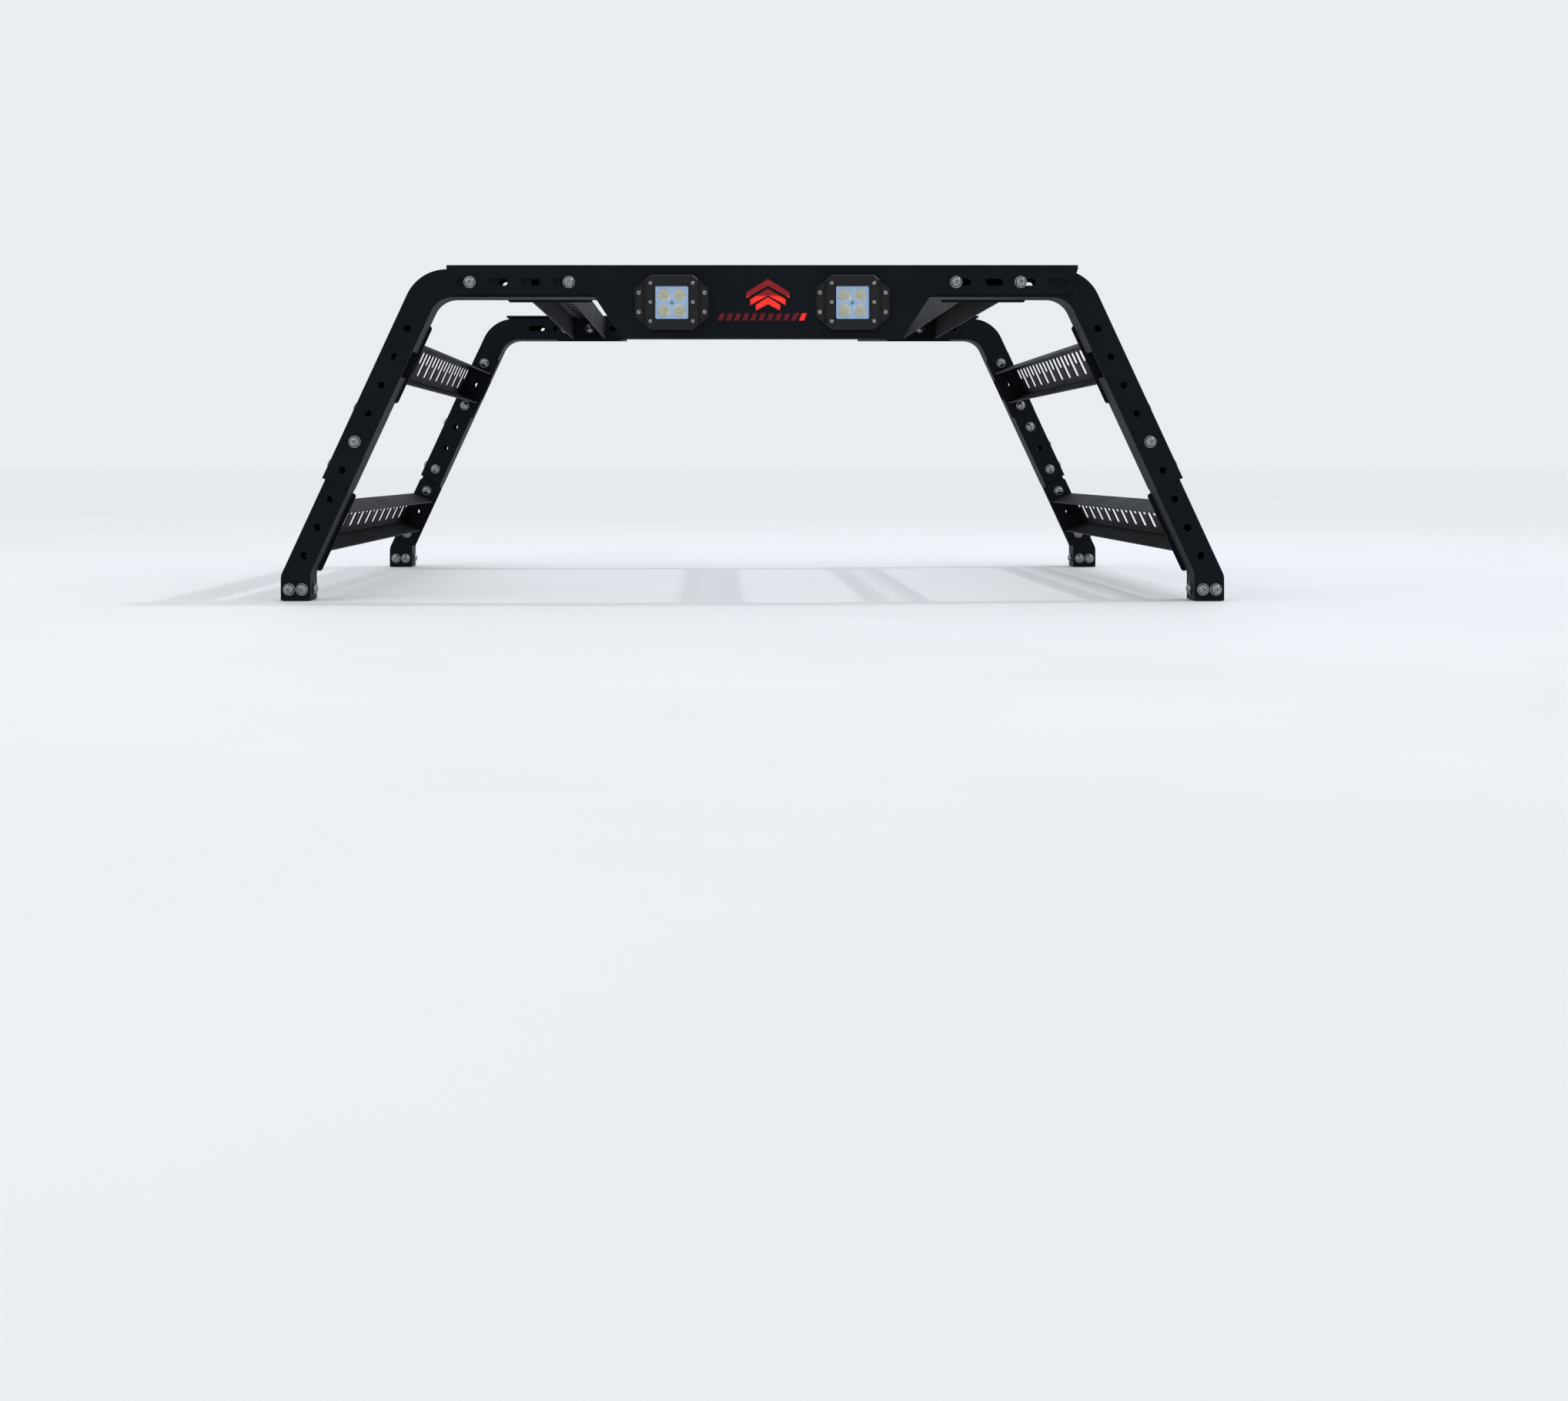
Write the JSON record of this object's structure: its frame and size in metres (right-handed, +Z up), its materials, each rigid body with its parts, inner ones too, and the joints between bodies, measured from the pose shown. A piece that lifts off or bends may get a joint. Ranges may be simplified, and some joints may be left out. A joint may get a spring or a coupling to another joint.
{
  "type": "headache rack",
  "caption": "Height-adjustable black steel headache rack for a pickup bed: two bolted hoops on telescoping legs, joined by perforated side and top rails, with flush work lights.",
  "frame": {"origin": "bottom centre of the rack's box: midway between the feet and on the plane the feet stand on", "axes": "+X towards the truck's right side (along the crossbars), +Y forward to the cab, +Z up"},
  "size_m": [1.62, 1.4762, 0.5765],
  "materials": {
    "powder_coat": "satin, fine-texture black powder coat",
    "stainless": "turned stainless steel",
    "pod_black": "satin black cast aluminium",
    "seal_rubber": "matte",
    "reflector_chrome": "mirror",
    "lens_clear": "polished clear polycarbonate",
    "led_yellow": "glossy phosphor",
    "insert_red": "glossy translucent red",
    "gland_plastic": "moulded"
  },
  "bodies": {
    "upper_frame": {"crossbar_bolts": "stainless", "crossbar_nuts": "stainless", "crossbar_washers": "stainless", "emblem_insert": "insert_red", "emblem_nuts": "stainless", "front_crossbar": "powder_coat", "front_hoop_left": "powder_coat", "front_hoop_right": "powder_coat", "index_bolts": "stainless", "index_washers": "stainless", "light_bezel_left": "pod_black", "light_bezel_right": "pod_black", "light_ear_nuts": "stainless", "light_ear_screws": "stainless", "light_emitters": "led_yellow", "light_face_screws": "stainless", "light_gasket_left": "seal_rubber", "light_gasket_right": "seal_rubber", "light_glands": "gland_plastic", "light_housing_left": "pod_black", "light_housing_right": "pod_black", "light_lens_left": "lens_clear", "light_lens_right": "lens_clear", "light_lens_seals": "seal_rubber", "light_reflector_left": "reflector_chrome", "light_reflector_right": "reflector_chrome", "rail_tab_bolts": "stainless", "rail_tab_nuts": "stainless", "rail_tab_washers": "stainless", "rear_crossbar": "powder_coat", "rear_hoop_left": "powder_coat", "rear_hoop_right": "powder_coat", "top_rail_left": "powder_coat", "top_rail_right": "powder_coat", "upper_rail_left": "powder_coat", "upper_rail_right": "powder_coat"},
    "left_foot": {"foot_bolts_left": "stainless", "foot_nuts_left": "stainless", "foot_washers_left": "stainless", "front_foot_bracket_left": "powder_coat", "front_leg_left": "powder_coat", "lower_rail_bolts_left": "stainless", "lower_rail_left": "powder_coat", "lower_rail_nuts_left": "stainless", "lower_rail_washers_left": "stainless", "rear_foot_bracket_left": "powder_coat", "rear_leg_left": "powder_coat"},
    "right_foot": {"foot_bolts_right": "stainless", "foot_nuts_right": "stainless", "foot_washers_right": "stainless", "front_foot_bracket_right": "powder_coat", "front_leg_right": "powder_coat", "lower_rail_bolts_right": "stainless", "lower_rail_nuts_right": "stainless", "lower_rail_right": "powder_coat", "lower_rail_washers_right": "stainless", "rear_foot_bracket_right": "powder_coat", "rear_leg_right": "powder_coat"}
  },
  "joints": [
    {"name": "left_leg_height", "type": "slide", "parent": "upper_frame", "child": "left_foot", "axis": [-0.4194, 0, -0.9078], "range_m": [0, 0.107]},
    {"name": "right_leg_height", "type": "slide", "parent": "upper_frame", "child": "right_foot", "axis": [0.4194, 0, -0.9078], "range_m": [0, 0.107]}
  ]
}
